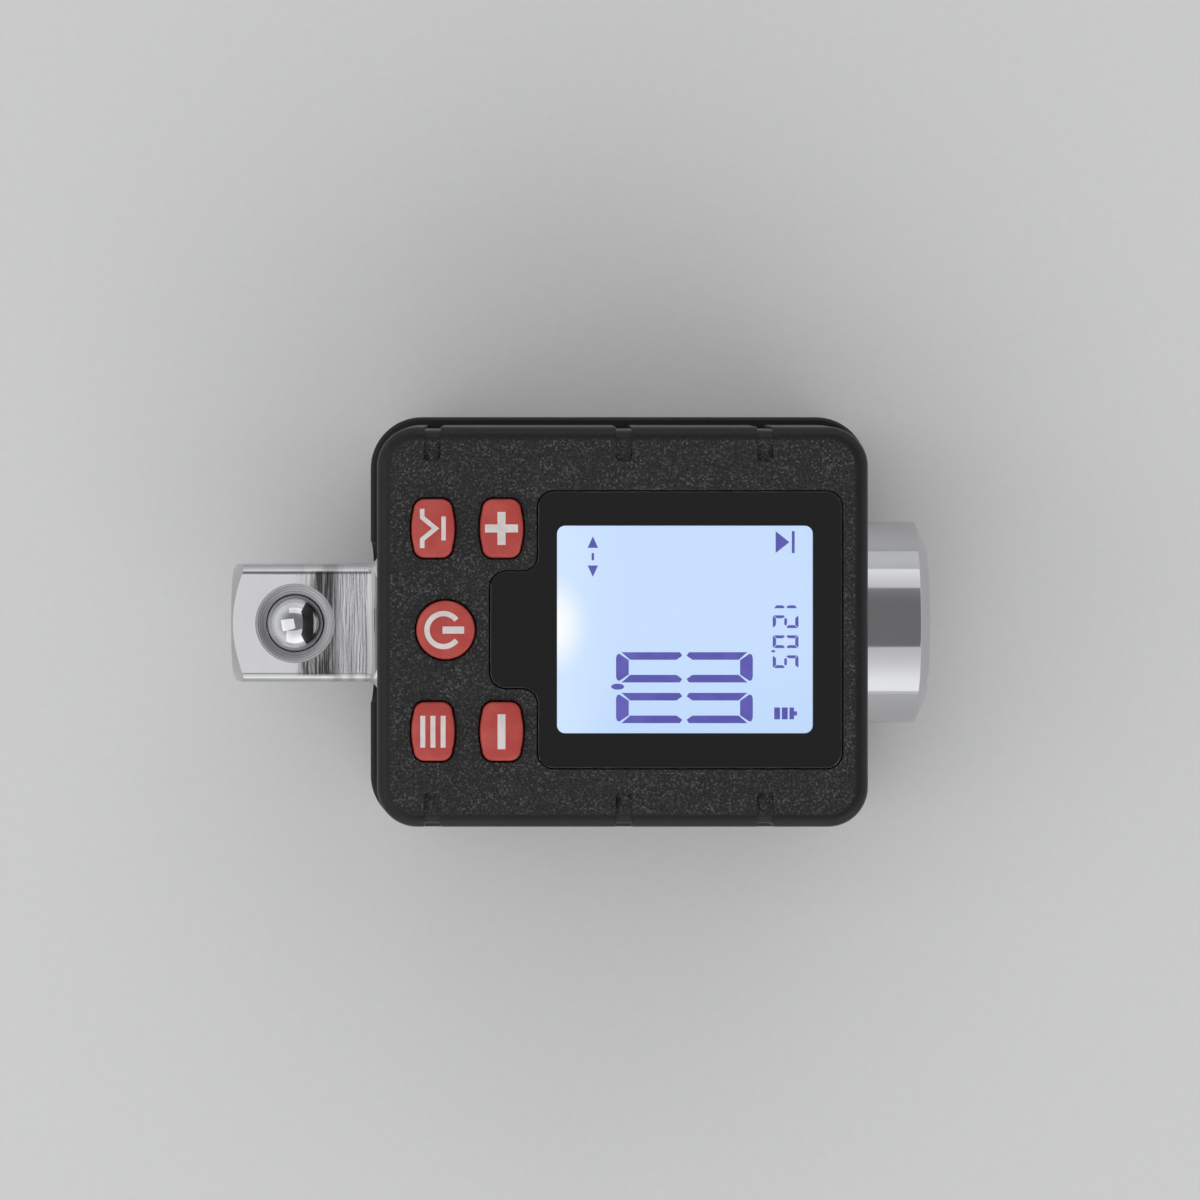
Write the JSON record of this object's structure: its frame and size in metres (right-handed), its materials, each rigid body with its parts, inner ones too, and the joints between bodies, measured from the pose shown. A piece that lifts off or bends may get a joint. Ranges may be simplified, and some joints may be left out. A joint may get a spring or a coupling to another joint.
{
  "type": "digital torque adapter",
  "caption": "Digital torque adapter: square drive with ball detent, square socket, box housing with backlit display and red keys.",
  "frame": {"origin": "middle of the bounding box at the back of the housing, which it lies on", "axes": "+Z out of the display, X along the shaft with the square drive towards -X and the socket towards +X"},
  "size_m": [0.0752, 0.0448, 0.041],
  "materials": {
    "shell": "coarse spark texture on the face, satin rim",
    "window": "polished clear acrylic",
    "mask": "black print seen through the window",
    "tape": "black foam tape",
    "lcd": "backlit display glass",
    "guide": "clear acrylic light guide",
    "film": "white reflector film",
    "led": "white side-firing lamp",
    "holder": "moulded frame",
    "seal_rubber": "moulded rubber",
    "board": "green solder mask",
    "chip": "moulded package",
    "screw_steel": "zinc plated",
    "key_rubber": "silicone",
    "key_plastic": "red satin cap with a pale printed symbol",
    "shaft_chrome": "polished chrome over milled flats",
    "ball_steel": "polished bearing steel",
    "spring_steel": "drawn wire",
    "gauge_film": "polyimide foil",
    "flex": "polyimide ribbon",
    "cell_steel": "nickel plated can",
    "contact_brass": "plated spring strip",
    "lead_sleeve": "wire sleeve"
  },
  "bodies": {
    "housing": {"front_cover": "shell", "rear_cover": "shell", "display_window": "window", "window_mask": "mask", "window_tape": "tape", "lcd_panel": "lcd", "light_guide": "guide", "reflector_film": "film", "backlight_led": "led", "lcd_holder": "holder", "contact_strip": "seal_rubber", "main_board": "board", "board_chips": "chip", "buzzer": "chip", "board_screws": "screw_steel", "keypad_sheet": "key_rubber", "power_dome": "key_rubber", "plus_dome": "key_rubber", "minus_dome": "key_rubber", "peak_dome": "key_rubber", "memory_dome": "key_rubber", "torsion_shaft": "shaft_chrome", "detent_spring": "spring_steel", "strain_gauges": "gauge_film", "gauge_leads": "flex", "drive_seal": "seal_rubber", "socket_seal": "seal_rubber", "shaft_screws": "screw_steel", "coin_cells": "cell_steel", "negative_contact": "contact_brass", "positive_contact": "contact_brass", "battery_leads": "lead_sleeve", "battery_cover": "shell", "battery_cover_seal": "seal_rubber", "battery_cover_screws": "screw_steel", "case_screws": "screw_steel"},
    "power_button": {"power_key": "key_plastic"},
    "plus_button": {"plus_key": "key_plastic"},
    "minus_button": {"minus_key": "key_plastic"},
    "peak_button": {"peak_key": "key_plastic"},
    "memory_button": {"memory_key": "key_plastic"},
    "ball": {"detent_ball": "ball_steel"}
  },
  "joints": [
    {"name": "power_press", "type": "slide", "parent": "housing", "child": "power_button", "axis": [0, 0, -1], "range_m": [0, 0.0007], "stiffness_N_per_m": 2500, "deforming": ["power_dome"]},
    {"name": "plus_press", "type": "slide", "parent": "housing", "child": "plus_button", "axis": [0, 0, -1], "range_m": [0, 0.0007], "stiffness_N_per_m": 2500, "deforming": ["plus_dome"]},
    {"name": "minus_press", "type": "slide", "parent": "housing", "child": "minus_button", "axis": [0, 0, -1], "range_m": [0, 0.0007], "stiffness_N_per_m": 2500, "deforming": ["minus_dome"]},
    {"name": "peak_press", "type": "slide", "parent": "housing", "child": "peak_button", "axis": [0, 0, -1], "range_m": [0, 0.0007], "stiffness_N_per_m": 2500, "deforming": ["peak_dome"]},
    {"name": "memory_press", "type": "slide", "parent": "housing", "child": "memory_button", "axis": [0, 0, -1], "range_m": [0, 0.0007], "stiffness_N_per_m": 2500, "deforming": ["memory_dome"]},
    {"name": "ball_press", "type": "slide", "parent": "housing", "child": "ball", "axis": [0, 0, -1], "range_m": [0, 0.0019], "stiffness_N_per_m": 4000, "springref_m": -0.001, "deforming": ["detent_spring"]}
  ]
}
